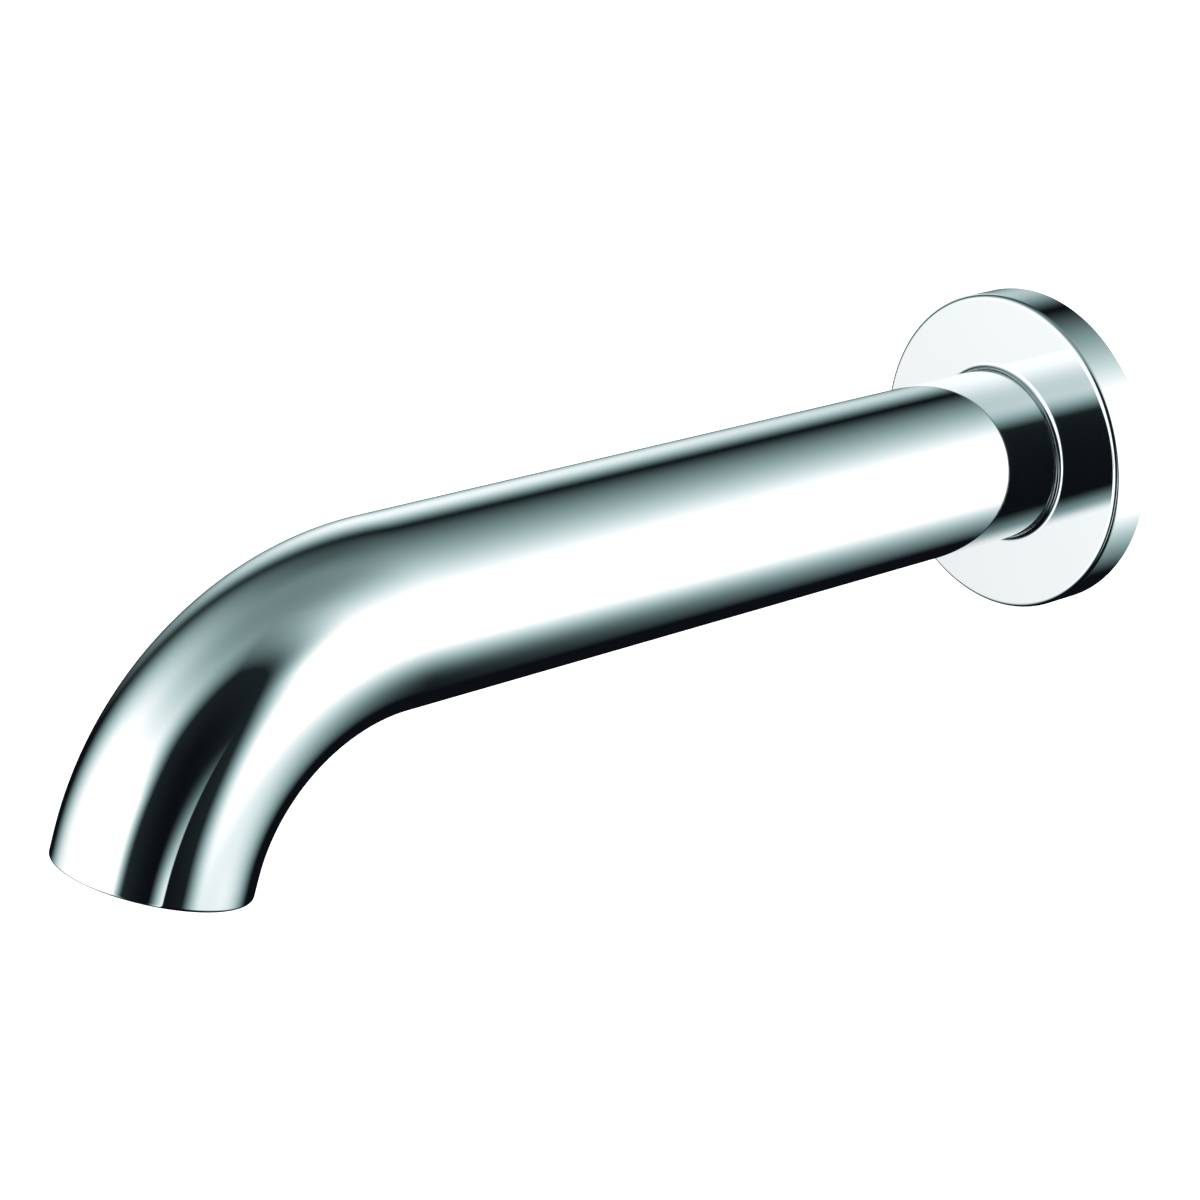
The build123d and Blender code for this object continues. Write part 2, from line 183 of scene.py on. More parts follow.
# Rubber rings: two on the spigot take up the tube's play, one grips the tube inside the flange,
# and two more seal the outlet head and the aerator. All are moulded black EPDM.
# EPDM: a matt, slightly greyed black with a fine grain from the mould, and a little bloom.
grain = 0.35 * mm
bloom_patch = 6 * mm
epdm_rubber, tree, shader, place = start_material("epdm_rubber", {"IOR": 1.5, "Specular IOR Level": 0.35})
bloom = add_node(tree, "ShaderNodeTexNoise", {"Vector": place, "Scale": 1 / bloom_patch, "Detail": 5.0})
pores = add_node(tree, "ShaderNodeTexNoise", {"Vector": place, "Scale": 1 / grain, "Detail": 2.0})
spread(tree, shader, bloom.outputs[0], tones=("#141414", "#2B2C2C"), gloss=(0.55, 0.78))
spread(tree, shader, pores.outputs[0], relief=(0.4, 0.03 * mm))
dress(epdm_rubber, "spigot_rings", "flange_grip_ring", "outlet_ring", "aerator_seal")

# Water hose: a bendable polyethylene hose inside the tube, pushed on a barb at each end.
# Natural polyethylene: milky and waxy, with faint drawing lines along it.
streak = 1.5 * mm
milky_polyethylene, tree, shader, place = start_material(
    "milky_polyethylene",
    {"Roughness": 0.42, "IOR": 1.51, "Subsurface Weight": 0.4, "Subsurface Radius": (0.002, 0.002, 0.002)},
)
cloud = add_node(tree, "ShaderNodeTexNoise", {"Vector": place, "Scale": 1 / streak, "Detail": 3.0})
spread(tree, shader, cloud.outputs[0], tones=("#E7E6DF", "#D3D3CB"), relief=(0.2, 0.05 * mm))
dress(milky_polyethylene, "water_hose")

# Ferrules and grub screws: a crimped sleeve on each hose end, and two set screws that lock the tube
# to its base and the outlet head in the tip. All are stainless steel.
# Stainless steel: a neutral grey metal, softly brushed, with marks about 0.2 mm across.
brush = 0.2 * mm
stainless_steel, tree, shader, place = start_material("stainless_steel", {"Metallic": 1.0})
brushed = add_node(tree, "ShaderNodeTexNoise", {"Vector": place, "Scale": 1 / brush, "Detail": 3.0})
spread(tree, shader, brushed.outputs[0], tones=("#C9CBCC", "#A9ABAD"), gloss=(0.2, 0.36))
dress(stainless_steel, "hose_ferrules", "grub_screws")

# Lead socket: a moulded nylon socket pressed into the base's rear face, for the control box's plug.
# Glass-filled nylon: near black, with a dry, slightly speckled skin.
speck = 0.25 * mm
black_nylon, tree, shader, place = start_material("black_nylon", {"IOR": 1.53, "Specular IOR Level": 0.45})
fibres = add_node(tree, "ShaderNodeTexNoise", {"Vector": place, "Scale": 1 / speck, "Detail": 3.0})
spread(
    tree, shader, fibres.outputs[0],
    tones=("#18191A", "#242526"), gloss=(0.4, 0.6), relief=(0.3, 0.02 * mm),
)
dress(black_nylon, "lead_socket", "sensor_case")

# Socket pins: three drawn contact pins, gilt so that they stay bright in damp air.
# Gilt brass: a clear yellow metal, smooth, with slight wear to a deeper tone.
wear_patch = 1.2 * mm
gilt_brass, tree, shader, place = start_material("gilt_brass", {"Metallic": 1.0})
wear = add_node(tree, "ShaderNodeTexNoise", {"Vector": place, "Scale": 1 / wear_patch, "Detail": 3.0})
spread(tree, shader, wear.outputs[0], tones=("#F0CE74", "#DDB95C"), gloss=(0.16, 0.28))
dress(gilt_brass, "socket_pins")

# Sensor lead: a round three-core lead from the socket to the sensor, along the top of the tube.
# Soft PVC: black, a little glossy, with shallow ripples from its extrusion.
ripple = 2.5 * mm
black_pvc, tree, shader, place = start_material("black_pvc", {"IOR": 1.53})
ripples = add_node(tree, "ShaderNodeTexNoise", {"Vector": place, "Scale": 1 / ripple, "Detail": 2.0})
spread(tree, shader, ripples.outputs[0], tones=("#1B1B1C", "#262627"), gloss=(0.32, 0.48))
dress(black_pvc, "sensor_lead")

# Spout tube: a 32 mm brass tube, bent once, bored for the outlet head and plated bright.
# Its end is rounded by polishing, and two tapped holes take the grub screws where they don't show.
straight_length = 146.0
bend_radius = 44.0
turn = np.radians(71.0)
tip_length = 3.5
spout_length = straight_length + bend_radius * turn + tip_length
tube_start = 3.0
tube_radius = 16.0
bore_radius = 14.0
seat_radius = 14.5
seat_depth = 9.0
tip_round = 0.45
mouth_round = 0.15
seat_round = 0.06
rear_round = 0.2
tube_columns = 160
longest_row = 1.05
grub_radius = 2.0
grub_bevel = 0.15
base_grub_place = 18.5
tip_grub_place = spout_length - tip_length
hole_columns = 6
room_ahead = 2.45
room_behind = 3.0


def rounded(corners, hold=0.08, arc_steps=5):
    """A closed outline from rows of height, radius and rounding: each corner becomes the arc that touches
    its two sides, with one more point on each side, so that the flat parts stay flat when shaded."""
    spots, rounding = corners[:, :2], corners[:, 2:]
    back = np.roll(spots, 1, axis=0) - spots
    onward = np.roll(spots, -1, axis=0) - spots
    back /= np.linalg.norm(back, axis=1, keepdims=True)
    onward /= np.linalg.norm(onward, axis=1, keepdims=True)
    half = np.arccos(np.clip((back * onward).sum(1, keepdims=True), -1, 1)) / 2
    reach = rounding / np.tan(half)
    middle = back + onward
    middle /= np.linalg.norm(middle, axis=1, keepdims=True)
    centre = spots + middle * rounding / np.sin(half)
    share = np.linspace(0, 1, arc_steps)[None, :, None]
    sweep = (np.pi - 2 * half)[:, None]
    first = (spots + back * reach - centre)[:, None]
    last = (spots + onward * reach - centre)[:, None]
    arc = np.sin((1 - share) * sweep) * first + np.sin(share * sweep) * last
    arc = centre[:, None] + arc / np.sin(sweep)
    before = (spots + back * (reach + hold))[:, None]
    after = (spots + onward * (reach + hold))[:, None]
    return np.concatenate([before, arc, after], 1).reshape(-1, 2)


def divided(outline, longest):
    """The same closed outline, with each side cut into equal parts no longer than this."""
    sides = np.roll(outline, -1, axis=0) - outline
    counts = np.maximum(1, np.ceil(np.linalg.norm(sides, axis=1) / longest)).astype(int)
    side = np.repeat(np.arange(len(outline)), counts)
    share = (np.arange(counts.sum()) - np.repeat(np.cumsum(counts) - counts, counts)) / counts[side]
    return outline[side] + sides[side] * share[:, None]


def spout_point(along, radius, angle):
    """A point on the spout: along its centre line, which is straight, then an arc, then straight again, and
    at a radius and angle round it. The outlet's seat is bored straight, on the axis of the tip."""
    along, radius, angle = np.broadcast_arrays(along, radius, angle)
    past_bore = radius > (bore_radius + seat_radius) / 2
    bored = past_bore & (radius < seat_radius + 2 * mouth_round) & (along > straight_length)
    past_bend = along - straight_length - bend_radius * turn
    bend = np.clip((along - straight_length) / bend_radius, 0, turn)
    bend = np.where(bored, turn, bend)
    past = np.where(bored, past_bend, np.maximum(past_bend, 0))
    run = np.where(bored, straight_length, np.minimum(along, straight_length))
    centre_y = -run - bend_radius * np.sin(bend) - past * np.cos(turn)
    centre_z = -bend_radius * (1 - np.cos(bend)) - past * np.sin(turn)
    rise = radius * np.sin(angle)
    return np.stack([
        radius * np.cos(angle), centre_y - rise * np.sin(bend), centre_z + rise * np.cos(bend)
    ], -1) * mm


def spout_tube():
    """The tube's wall outline carried round the centre line. Round each grub hole a block of quads gives way
    to rings that pass from the block's border to a circle, down the hole and out to the border inside."""
    outline = divided(rounded(np.array([
        (tube_start, tube_radius, rear_round),
        (spout_length, tube_radius, tip_round),
        (spout_length, seat_radius, mouth_round),
        (spout_length - seat_depth, seat_radius, seat_round),
        (spout_length - seat_depth, bore_radius, seat_round),
        (tube_start, bore_radius, rear_round),
    ])), longest_row)
    along, radius = outline[:, :1], outline[:, 1:]
    angle = np.linspace(0, 2 * np.pi, tube_columns, endpoint=False)
    points = [spout_point(along, radius, angle).reshape(-1, 3)]
    numbers = np.arange(len(outline) * tube_columns).reshape(-1, tube_columns)
    quads = strip(np.vstack([numbers, numbers[:1]])).reshape(-1, tube_columns, 4)
    kept = np.ones(quads.shape[:2], bool)
    faces = []
    below = tube_columns * 3 // 4
    columns = np.arange(below - hole_columns, below + hole_columns + 1)
    inner_side = bend_radius / (bend_radius - tube_radius)
    holes = [(base_grub_place, bore_radius, 1.0), (tip_grub_place, seat_radius, inner_side)]
    for middle, inner_radius, stretch in holes:
        borders = []
        for wall_radius, squeeze in ((tube_radius, stretch), (inner_radius, 1.0)):
            rows = np.flatnonzero(np.isclose(outline[:, 1], wall_radius))
            rows = rows[np.argsort(outline[rows, 0])]
            last = np.searchsorted(outline[rows, 0], middle + room_ahead)
            if not borders:
                first = np.searchsorted(outline[rows, 0], middle - room_behind * squeeze, "right") - 1
                count = last - first
            rows = rows[last - count:last + 1]
            kept[rows.min():rows.max(), columns[0]:columns[-1]] = False
            border = np.concatenate([
                np.stack(np.broadcast_arrays(rows[:-1], columns[0]), 1),
                np.stack(np.broadcast_arrays(rows[-1], columns[:-1]), 1),
                np.stack(np.broadcast_arrays(rows[:0:-1], columns[-1]), 1),
                np.stack(np.broadcast_arrays(rows[0], columns[:0:-1]), 1),
            ])
            length = outline[border[:, 0], 0] - middle
            sideways = angle[border[:, 1]] - angle[below]
            clock = np.arctan2(sideways * wall_radius, np.where(length < 0, length / squeeze, length))
            borders.append((border, length, sideways, clock, squeeze))
        # Each ring has its wall, outer or inner, its share of the way from the border to the circle,
        # its radius in the tube and how much the bevel widens the circle there.
        outer_wall, inner_wall = 0, 1
        levels = [
            (outer_wall, 0.35, tube_radius, grub_bevel),
            (outer_wall, 0.7, tube_radius, grub_bevel),
            (outer_wall, 1.0, tube_radius, grub_bevel),
            (outer_wall, 1.0, tube_radius - grub_bevel, 0.0),
            (inner_wall, 1.0, inner_radius, 0.0),
            (inner_wall, 0.6, inner_radius, 0.0),
        ]
        rings = []
        for wall, share, level, bevel in levels:
            border, length, sideways, clock, squeeze = borders[wall]
            circle = (grub_radius + bevel) * np.cos(clock)
            circle = np.where(circle < 0, circle * squeeze, circle)
            swing = np.arcsin((grub_radius + bevel) * np.sin(clock) / level)
            ring_along = middle + length * (1 - share) + circle * share
            ring_angle = angle[below] + sideways * (1 - share) + swing * share
            rings.append(len(np.concatenate(points)) + np.arange(len(clock)))
            points.append(spout_point(ring_along, level, ring_angle))
        outer, inner = borders[outer_wall][0], borders[inner_wall][0]
        rings.insert(0, numbers[outer[:, 0], outer[:, 1]])
        rings.append(numbers[inner[:, 0], inner[:, 1]])
        faces += strip(np.array(rings)).tolist()
    return np.concatenate(points), quads[kept].tolist() + faces


# Bright chrome on polished brass: a cold, clear mirror. Buffing leaves it only a trace of haze,
# in patches about 30 mm across, and a barely uneven shine.
haze_patch = 30 * mm
bright_chrome, tree, shader, place = start_material("bright_chrome", {"Metallic": 1.0})
haze = add_node(tree, "ShaderNodeTexNoise", {"Vector": place, "Scale": 1 / haze_patch, "Detail": 3.0})
spread(tree, shader, haze.outputs[0], tones=("#E9EDEE", "#E2E7E8"), gloss=(0.02, 0.045))
spout = new_piece("spout_tube_plated", *spout_tube(), bright_chrome, "tube_chrome")
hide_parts("spout_tube")

# Wall flange: a turned brass cover, plated with the tube, that slides on it and hides the base.
# Its rim is rounded, a thin coved lip closes on the tube, and a hub in its hollow back holds a rubber ring.
flange_radius = 30.0
flange_depth = 8.0
flange_bore = 16.08
rim_round = 1.0
cove_radius = 1.0
lip_end = 9.05
lip_radius = 16.2
lip_edge = 0.02
lip_bevel = 0.1
grip_start = 4.55
grip_end = 6.95
grip_radius = 17.88
hub_start = 3.5
hub_radius = 20.08
hollow_depth = 5.5
hollow_radius = 27.0
groove_depth = 1.2
groove_inner = 27.7
groove_outer = 29.3
flange_columns = 256


def turned(outline, columns, place_at, y=0.0):
    """A closed outline of height and radius turned about an axis."""
    angle = np.linspace(0, 2 * np.pi, columns, endpoint=False)
    height, radius = outline[:, :1], outline[:, 1:]
    points = place_at(radius * np.cos(angle), y + radius * np.sin(angle), height)
    numbers = np.arange(len(outline) * columns).reshape(-1, columns)
    return points, strip(np.vstack([numbers, numbers[:1]])).tolist()


flange_outline = rounded(np.array([
    (0.0, flange_radius, 0.3),
    (flange_depth, flange_radius, rim_round),
    (flange_depth, lip_radius, cove_radius),
    (lip_end, lip_radius, 0.01),
    (lip_end, lip_radius - lip_edge, 0.01),
    (lip_end - lip_bevel, flange_bore, 0.02),
    (grip_end, flange_bore, 0.06),
    (grip_end, grip_radius, 0.06),
    (grip_start, grip_radius, 0.06),
    (grip_start, flange_bore, 0.06),
    (hub_start, flange_bore, 0.12),
    (hub_start, hub_radius, 0.12),
    (hollow_depth, hub_radius, 0.2),
    (hollow_depth, hollow_radius, 0.3),
    (0.0, hollow_radius, 0.12),
    (0.0, groove_inner, 0.12),
    (groove_depth, groove_inner, 0.08),
    (groove_depth, groove_outer, 0.08),
    (0.0, groove_outer, 0.12),
]), hold=0.002, arc_steps=13)
flange = new_piece(
    "wall_flange_plated", *turned(flange_outline, flange_columns, at_wall), bright_chrome, "flange_chrome"
)
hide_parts("wall_flange")

# Flange seal: a ring of closed-cell foam rubber, glued in a groove in the flange's rear rim.
# Foam rubber: matt charcoal, with cut cells about 0.4 mm across.
cell = 0.4 * mm
seal_gap = 0.02
seal_columns = 192
foam_rubber, tree, shader, place = start_material(
    "foam_rubber", {"Roughness": 0.85, "IOR": 1.5, "Specular IOR Level": 0.25}
)
cells = add_node(tree, "ShaderNodeTexVoronoi", {"Vector": place, "Scale": 1 / cell})
spread(tree, shader, cells.outputs[0], tones=("#2B2C2D", "#191A1A"), relief=(0.7, 0.12 * mm))
seal_outline = rounded(np.array([
    (0.0, groove_inner + seal_gap, 0.25),
    (0.0, groove_outer - seal_gap, 0.25),
    (groove_depth, groove_outer - seal_gap, 0.1),
    (groove_depth, groove_inner + seal_gap, 0.1),
]))
seal = new_piece("flange_seal_foam", *turned(seal_outline, seal_columns, at_wall), foam_rubber, "seal_rubber")
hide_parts("flange_seal")

# Outlet head: a moulded body that carries the aerator and the sensor, held in the tip by a grub screw.
# Acetal: dark grey, with the even, fine sparkle of a spark-eroded mould, about 0.15 mm across.
spark = 0.15 * mm
dark_acetal, tree, shader, place = start_material("dark_acetal", {"IOR": 1.48, "Specular IOR Level": 0.5})
sparks = add_node(tree, "ShaderNodeTexNoise", {"Vector": place, "Scale": 1 / spark, "Detail": 2.0})
spread(
    tree, shader, sparks.outputs[0],
    tones=("#303234", "#3C3E40"), gloss=(0.38, 0.6), relief=(0.5, 0.02 * mm),
)
dress(dark_acetal, "outlet_head")

# Aerator housing: a turned ring that screws into the head, with notches for the key that turns it.
# It is plated like the spout.
face = -0.8
aerator_offset = -3.0
ring_radius = 8.25
ring_length = 5.5
ring_bore = 6.6
mouth_radius = 6.0
mouth_depth = 0.8
band_radius = 7.125
band_step = 0.035
band_drop = 0.001
front_depth = 0.5
notch_count = 6
notch_depth = 0.7
notch_half = 0.8
notch_middle = 7.7
notch_slope = 0.25
tip_corner = -straight_length - bend_radius * np.sin(turn) - tip_length * np.cos(turn)
tip_drop = -bend_radius * (1 - np.cos(turn)) - tip_length * np.sin(turn)


def at_tip(x, y, height):
    """A point in metres from its place across the tip and its height out along the stream, in millimetres."""
    x, y, height = np.broadcast_arrays(x, y, height)
    return np.stack([
        x,
        tip_corner - y * np.sin(turn) - height * np.cos(turn),
        tip_drop + y * np.cos(turn) - height * np.sin(turn),
    ], -1) * mm


def aerator_ring():
    """The ring's outline turned about its axis. The front's outer band drops by the notch's depth wherever
    the angle is inside a notch, and the columns crowd together at a notch's two sides."""
    outline = rounded(np.array([
        (face, ring_radius, 0.12),
        (face, band_radius + band_step, 0.02),
        (face - band_drop, band_radius - band_step, 0.02),
        (face, mouth_radius, 0.15),
        (face - mouth_depth, mouth_radius, 0.1),
        (face - mouth_depth, ring_bore, 0.06),
        (face - ring_length, ring_bore, 0.1),
        (face - ring_length, ring_radius, 0.2),
    ]), hold=0.02)
    height, radius = outline[:, :1], outline[:, 1:]
    half_sector = 180.0 / notch_count
    half = np.degrees(np.arcsin(notch_half / notch_middle))
    notch_side = half + np.array([-notch_slope, 0.0, 0.15])
    beside = np.concatenate([notch_side, np.linspace(half + 0.5, half_sector, 7)])
    within = np.linspace(1.2 - half, half - 1.2, 5)
    sector = np.concatenate([-beside[::-1], within, beside[:-1]])
    inside = np.clip((half - np.abs(sector)) / notch_slope, 0, 1)
    angle = np.radians((sector + 2 * half_sector * np.arange(notch_count)[:, None]).ravel())
    inside = np.tile(inside, notch_count)
    band = (radius > band_radius) & (height > face - front_depth)
    height = height - notch_depth * band * inside
    points = at_tip(radius * np.cos(angle), aerator_offset + radius * np.sin(angle), height)
    numbers = np.arange(len(outline) * len(angle)).reshape(len(outline), -1)
    return points, strip(np.vstack([numbers, numbers[:1]])).tolist()


aerator = new_piece("aerator_housing_plated", *aerator_ring(), bright_chrome, "aerator_chrome")
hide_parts("aerator_housing")

# Aerator insides: the honeycomb that straightens the stream, the jet plate above it and the sieve.
# Pale acetal: a cool light grey, satin, slightly mottled.
mottle = 0.8 * mm
pale_acetal, tree, shader, place = start_material(
    "pale_acetal", {"IOR": 1.48, "Subsurface Weight": 0.15, "Subsurface Radius": (0.001, 0.001, 0.001)}
)
clouds = add_node(tree, "ShaderNodeTexNoise", {"Vector": place, "Scale": 1 / mottle, "Detail": 3.0})
spread(tree, shader, clouds.outputs[0], tones=("#DCDEDD", "#CBCECD"), gloss=(0.35, 0.5))
dress(pale_acetal, "aerator_grid", "aerator_diffuser", "aerator_strainer")

# Sensor window: a dark acrylic pane glued flush into the head, which lets only infrared through.
# Dyed acrylic: glossy black with a deep red cast, and a very shallow crown from polishing.
window_width = 11.0
window_height = 5.4
window_corner = 1.2
window_depth = 1.5
window_offset = 9.3
window_edge = 0.25
window_crown = 0.12
back_bevel = 0.1
pole_size = 0.02
corner_steps = 9
dye_patch = 3 * mm
dyed_acrylic, tree, shader, place = start_material(
    "dyed_acrylic", {"IOR": 1.49, "Coat Weight": 0.6, "Coat Roughness": 0.03}
)
dye = add_node(tree, "ShaderNodeTexNoise", {"Vector": place, "Scale": 1 / dye_patch, "Detail": 2.0})
spread(tree, shader, dye.outputs[0], tones=("#16070A", "#220A0E"), gloss=(0.05, 0.1))


def window_pane():
    """Rings of a rounded rectangle: they shrink to a point at the front, round the edge by an arc, run down
    the side and shrink to a point again at the back. The front rises to the crown at its middle."""
    quarter = np.radians(np.linspace(0, 90, corner_steps))
    turns = np.concatenate([quarter + k * np.pi / 2 for k in range(4)])
    across, upward = window_width / 2 - window_corner, window_height / 2 - window_corner
    sign_x = np.repeat([1, -1, -1, 1], corner_steps)
    sign_y = np.repeat([1, 1, -1, -1], corner_steps)
    front = np.linspace(pole_size, 0.97, 6)
    arc = np.radians(np.linspace(0, 90, 6))
    size = np.concatenate([front, np.ones(9), [pole_size]])
    inset = np.concatenate([
        np.full(6, window_edge), window_edge * (1 - np.sin(arc)), np.zeros(2), np.full(2, back_bevel),
    ])
    drop = np.concatenate([
        np.zeros(6), window_edge * (1 - np.cos(arc)), [window_depth / 2, window_depth - back_bevel],
        np.full(2, window_depth),
    ])
    crown = np.concatenate([window_crown * (1 - front ** 2), np.zeros(10)])
    corner = (window_corner - inset)[:, None]
    x = size[:, None] * (sign_x * across + corner * np.cos(turns))
    y = size[:, None] * (sign_y * upward + corner * np.sin(turns))
    points = at_tip(x, window_offset + y, (face - drop + crown)[:, None])
    numbers = np.arange(points.shape[0] * points.shape[1]).reshape(points.shape[:2])
    return points, strip(numbers).tolist() + [numbers[0].tolist(), numbers[-1].tolist()]


window = new_piece("sensor_window_pane", *window_pane(), dyed_acrylic, "window_plastic")
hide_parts("sensor_window")

# Sensor board: a small circuit board across the case, with the two infrared eyes on it.
# Glass-epoxy laminate: green lacquer over a weave of glass cloth, threads about 0.5 mm apart.
thread = 0.5 * mm
green_laminate, tree, shader, place = start_material("green_laminate", {"IOR": 1.55, "Roughness": 0.3})
weave = add_node(tree, "ShaderNodeTexChecker", {"Vector": place, "Scale": 1 / thread})
spread(tree, shader, weave.outputs[1], tones=("#1F7A4A", "#1B6B41"))
dress(green_laminate, "sensor_board")

# Infrared eyes: cast epoxy domes, a pale one that sends and a dark one that receives.
# Cast epoxy: clear and glossy, slightly cloudy inside.
cloud_size = 1.0 * mm
eyes = (
    ("ir_emitter", "clear_epoxy", ("#C9D2E2", "#BAC4D6")),
    ("ir_receiver", "dark_epoxy", ("#241C22", "#1B1519")),
)
for node_name, material_name, tones in eyes:
    epoxy, tree, shader, place = start_material(material_name, {"IOR": 1.55, "Roughness": 0.08})
    clouds = add_node(tree, "ShaderNodeTexNoise", {"Vector": place, "Scale": 1 / cloud_size, "Detail": 2.0})
    spread(tree, shader, clouds.outputs[0], tones=tones)
    dress(epoxy, node_name)

# Studio floor: a plain white sheet well below the tap, which the chrome doesn't mirror.
# White paper: matt and even, and as bright as the backdrop.
floor_height = -0.7
floor_reach = 8.0
white_paper, tree, shader, place = start_material("white_paper", {
    "Roughness": 0.9, "Base Color": linear("#F6F6F5"),
    "Emission Color": linear("#FFFFFF"), "Emission Strength": 1.0,
})
floor_mesh = bpy.data.meshes.new("floor")
corners = np.array([(-1, -1), (1, -1), (1, 1), (-1, 1)]) * floor_reach
floor_points = np.column_stack([corners, np.full(4, floor_height)])
floor_mesh.from_pydata(floor_points.tolist(), [], [(0, 1, 2, 3)])
floor_mesh.materials.append(white_paper)
floor = bpy.data.objects.new("floor", floor_mesh)
bpy.context.scene.collection.objects.link(floor)
floor.visible_glossy = False

# Studio light: a soft dome with two dark flags, one slim card and one small softbox for the chrome to
# mirror. Heights, headings and widths are in degrees, and a heading counts from +Y towards +X.
world = bpy.data.worlds.new("studio")
bpy.context.scene.world = world
world.use_nodes = True
tree = world.node_tree
tree.nodes.clear()
toward = add_node(tree, "ShaderNodeTexCoord").outputs["Generated"]
upright = add_node(tree, "ShaderNodeSeparateXYZ", {0: toward}).outputs[2]
elevation = add_node(tree, "ShaderNodeMath", {0: upright}, operation="ARCSINE").outputs[0]
height = add_node(tree, "ShaderNodeMath", {0: elevation}, operation="DEGREES").outputs[0]

# Soft-edged shapes. Each has the heading of its middle, its width to the left and to the right, and how much
# that side draws in for each degree of height. It starts to close at one height and ends one rise above.
# A board goes on down to the floor, and an oval closes below as well. The edge runs from inner to outer,
# counted in widths from the middle, and outer changes to high_outer between two heights. The last two
# values are the light inside the shape and outside it.
board = 0.0
oval = -9.0
outer_from = 20.0
outer_to = 60.0
patch_light = 0.523
soft_shapes = {
    "slim_flag": dict(
        heading=123.0, left=36.0, left_taper=0.186, right=34.3, right_taper=0.159,
        closes=30.6, rise=22.4, lowest=board, inner=0.786, outer=1.401, high_outer=2.048,
        inside=0.0, outside=1.0,
    ),
    "spill": dict(
        heading=123.0, left=36.0, left_taper=0.186, right=34.3, right_taper=0.159,
        closes=22.0, rise=22.0, lowest=board, inner=0.0, outer=2.2, high_outer=2.2,
        inside=0.0, outside=0.025,
    ),
    "broad_flag": dict(
        heading=-55.4, left=81.3, left_taper=0.0, right=85.3, right_taper=0.069,
        closes=12.2, rise=69.9, lowest=board, inner=0.445, outer=1.19, high_outer=1.347,
        inside=0.0, outside=1.0,
    ),
    "dim_patch": dict(
        heading=-139.0, left=34.3, left_taper=0.0, right=34.3, right_taper=0.0,
        closes=-24.3, rise=51.7, lowest=oval, inner=0.0, outer=1.0, high_outer=1.0,
        inside=patch_light, outside=1.0,
    ),
    "softbox": dict(
        heading=-60.4, left=37.2, left_taper=0.0, right=37.2, right_taper=0.0,
        closes=14.8, rise=34.5, lowest=oval, inner=0.0, outer=1.0, high_outer=1.0,
        inside=0.935, outside=0.0,
    ),
}
bearing = {}
soft = {}
for name, shape in soft_shapes.items():
    sine = np.sin(np.radians(shape["heading"]))
    cosine = np.cos(np.radians(shape["heading"]))
    ahead = add_node(
        tree, "ShaderNodeVectorMath", {0: toward, 1: (sine, cosine, 0)}, operation="DOT_PRODUCT"
    ).outputs[1]
    aside = add_node(
        tree, "ShaderNodeVectorMath", {0: toward, 1: (cosine, -sine, 0)}, operation="DOT_PRODUCT"
    ).outputs[1]
    swing = add_node(tree, "ShaderNodeMath", {0: aside, 1: ahead}, operation="ARCTAN2").outputs[0]
    bearing[name] = add_node(tree, "ShaderNodeMath", {0: swing}, operation="DEGREES").outputs[0]
    sides = []
    for side, sign in (("left", -1), ("right", 1)):
        width = shape[side]
        taper = shape[side + "_taper"] / width
        lean = add_node(tree, "ShaderNodeMath", {0: height, 1: taper}, operation="MULTIPLY").outputs[0]
        sides.append(add_node(
            tree, "ShaderNodeMath", {0: bearing[name], 1: sign / width, 2: lean}, operation="MULTIPLY_ADD"
        ).outputs[0])
    across = add_node(tree, "ShaderNodeMath", {0: sides[0], 1: sides[1]}, operation="MAXIMUM").outputs[0]
    top = shape["closes"] + shape["rise"]
    climb = add_node(
        tree, "ShaderNodeMapRange", {0: height, 1: shape["closes"], 2: top}, clamp=False
    ).outputs[0]
    above = add_node(tree, "ShaderNodeMath", {0: climb, 1: shape["lowest"]}, operation="MAXIMUM").outputs[0]
    spot = add_node(tree, "ShaderNodeCombineXYZ", {0: across, 1: above}).outputs[0]
    span = add_node(tree, "ShaderNodeVectorMath", {0: spot}, operation="LENGTH").outputs[1]
    edge = add_node(
        tree, "ShaderNodeMapRange",
        {0: height, 1: outer_from, 2: outer_to, 3: shape["outer"], 4: shape["high_outer"]},
    ).outputs[0]
    soft[name] = add_node(
        tree, "ShaderNodeMapRange",
        {0: span, 1: shape["inner"], 2: edge, 3: shape["inside"], 4: shape["outside"]},
        interpolation_type="SMOOTHSTEP",
    ).outputs[0]

# The dome is brightest near the horizon and fades overhead and towards a floor that slopes away. The broad
# flag dissolves near the zenith. A slim card stands inside the slim flag, with one sharp edge, and fades to
# the other edge, upwards and at its foot. Each ramp has what it follows, where it starts and ends, and the
# light at those two places.
floor_heading = np.radians(-69.6)
floor_fall = 20.8
card_lean = 0.366
zenith_light = 0.85
brightest = 1.25
fall_line = (floor_fall * np.sin(floor_heading), floor_fall * np.cos(floor_heading), 0)
fall = add_node(tree, "ShaderNodeVectorMath", {0: toward, 1: fall_line}, operation="DOT_PRODUCT").outputs[1]
above_floor = add_node(tree, "ShaderNodeMath", {0: height, 1: fall}, operation="ADD").outputs[0]
beside_card = add_node(
    tree, "ShaderNodeMath", {0: height, 1: card_lean, 2: bearing["slim_flag"]}, operation="MULTIPLY_ADD"
).outputs[0]
